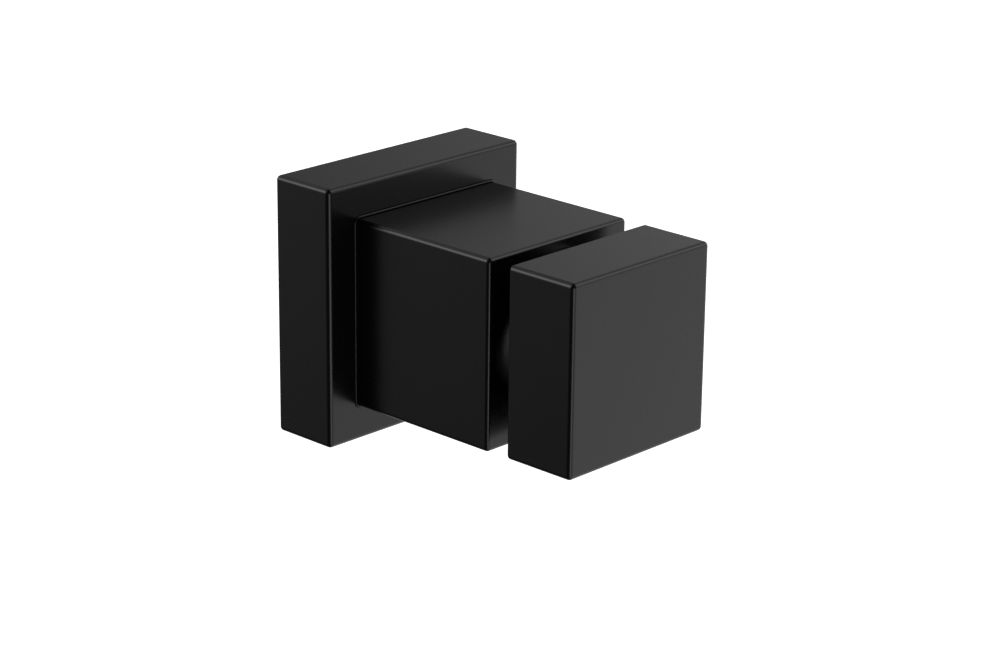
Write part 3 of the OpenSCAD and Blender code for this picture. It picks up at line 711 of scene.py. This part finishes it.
def makeHeadwork(size):
    # The pipe thread is r = R - depth tri(s / pitch - a / 2 pi), where tri goes 0, 1, 0 once a turn. Its
    # depth fades out over the last pitch before the relief groove.
    f, radius, pitch = reach("headwork_body"), size["threadRadius"], size["threadPitch"]
    neck, nose, relief, shoulder = size["neck"], size["nose"], size["relief"], size["shoulder"]
    threadEnd, hexRear, hexFront, neckEnd = (
        size[k] for k in ("threadEnd", "hexRear", "hexFront", "neckEnd"))
    hexagon, noseRound = hexOutline(size["flats"]), size["noseRound"]

    def outline(r, s, a):
        phase = (s / pitch - a / (2 * math.pi)) % 1
        fade = np.clip((threadEnd - s) / pitch, 0, 1)
        thread = radius - size["threadDeep"] * fade * (1 - np.abs(2 * phase - 1))
        onThread, onHexagon = s <= threadEnd, (s >= hexRear) & (s <= hexFront)
        return np.where(onThread, np.minimum(r, thread), np.where(onHexagon, hexagon(r, s, a), r + 0 * a))

    rows = np.vstack([
        closer(np.array([(radius - size["threadDeep"], f.rear), (radius, f.rear + size["threadLead"]),
                         (radius, threadEnd)]), pitch / size["threadRows"]),
        [(relief, threadEnd + shoulder), (relief, hexRear - shoulder)],
        hexRows(size["flats"], hexRear, hexFront, size["chamfer"]),
        [(neck, hexFront + shoulder), (neck, neckEnd), (nose, neckEnd)],
        rounded([(nose, neckEnd + size["noseStep"], 0), (nose, f.front, noseRound),
                 (nose - noseRound, f.front, 0)])])
    guide, recess, journal = cornerOf(size["guideFlats"]), size["recess"], size["journal"]
    skins = {
        "outside": roundSkin(rows, outline=outline),
        "guide": roundSkin([(guide, size["guideEnd"]), (guide, f.rear)], spokes=6),
        "recess": roundSkin([(recess, size["recessEnd"]), (recess, size["guideEnd"])], spokes=64),
        "journal": roundSkin([(journal, f.front), (journal, size["recessEnd"])], spokes=64)}
    flats = [[("outside", 0), ("guide", -1)], [("guide", 0), ("recess", -1)],
             [("recess", 0), ("journal", -1)], [("journal", 0), ("outside", -1)]]
    finishPiece("headworkBody", solidMesh("headworkBody", skins, flats), "headwork_body")


makeHeadwork(headwork)

fibreRing = {"bore": 10.58, "edgeRound": 0.12}


def makeFibreRing(size):
    # a flat round ring
    f, edge = reach("headwork_gasket"), size["edgeRound"]
    mesh = ringMesh("fibreRing", roundSkin(rounded([(f.half, f.rear, edge), (f.half, f.front, edge)])),
                    roundSkin([(size["bore"], f.front), (size["bore"], f.rear)]))
    finishPiece("fibreRing", mesh, "headwork_gasket")


makeFibreRing(fibreRing)

locknut = {"flats": 27, "bore": 11.05, "chamfer": 0.9, "boreChamfer": 0.5}


def makeLocknut(size):
    # a flat hexagon nut, with both mouths of its bore chamfered
    f, bore, mouth = reach("tube_locknut"), size["bore"], size["bore"] + size["boreChamfer"]
    outside = hexSkin(size["flats"], f.rear, f.front, size["chamfer"])
    rows = [(mouth, f.front), (bore, f.front - size["boreChamfer"]), (bore, f.rear + size["boreChamfer"]),
            (mouth, f.rear)]
    finishPiece("tubeLocknut", ringMesh("tubeLocknut", outside, roundSkin(rows)), "tube_locknut")


makeLocknut(locknut)
print("headwork made")

# plug: carrier, rubber washer, cup and screw

plug = {"flats": 13.8, "chamfer": 0.6, "bore": 4.05, "floor": 3, "washerRound": 0.35, "cupRound": 0.3,
        "slot": 0.8, "slotDeep": 0.9, "headSteps": 14}


def makePlug(size):
    # a hexagonal carrier with a blind bore, and two discs with a rounded rear edge
    f, bore = reach("plug_carrier"), size["bore"]
    skins = {"outside": hexSkin(size["flats"], f.rear, f.front, size["chamfer"]),
             "bore": roundSkin([(bore, f.front), (bore, f.rear + size["floor"])], spokes=64)}
    flats = [[("outside", 0)], [("outside", -1), ("bore", 0)], [("bore", -1)]]
    finishPiece("plugCarrier", solidMesh("plugCarrier", skins, flats), "plug_carrier")
    discs = (("valveWasher", "valve_washer", size["washerRound"]),
             ("washerCup", "washer_cup", size["cupRound"]))
    for name, node, soft in discs:
        f = reach(node)
        rows = rounded([(f.half - soft, f.rear, 0), (f.half, f.rear, soft), (f.half, f.front, 0)])
        finishPiece(name, discMesh(name, roundSkin(rows)), node)


makePlug(plug)


def makeScrew(size):
    # The slotted head is a stack of chords of a circle, x = t sqrt(R^2 - z^2), each with its own top: the
    # slot's floor between the slot's sides and the head's end outside them.
    f, side, cup = reach("washer_screw"), size["slot"] / 2, reach("washer_cup").rear
    turn = np.linspace(math.asin(side / f.half), math.pi / 2, size["headSteps"])
    half = np.concatenate([[side], f.half * np.sin(turn)])
    z = np.concatenate([-half[::-1], half])[:, None]
    top = np.concatenate([0 * half[:-1] + f.rear, [f.rear + size["slotDeep"]]])
    top = np.concatenate([top, top[::-1]])[:, None]
    chord = np.sqrt(np.maximum(f.half ** 2 - z ** 2, 0))
    x = chord * np.array([-1, -1, 1, 1])
    s = np.hstack([cup + 0 * z, top, top, cup + 0 * z])
    head = np.stack([x, -s, z + 0 * x], -1)
    finishPiece("washerScrew", solidMesh("washerScrew", {"head": head}), "washer_screw")


makeScrew(plug)
print("plug made")
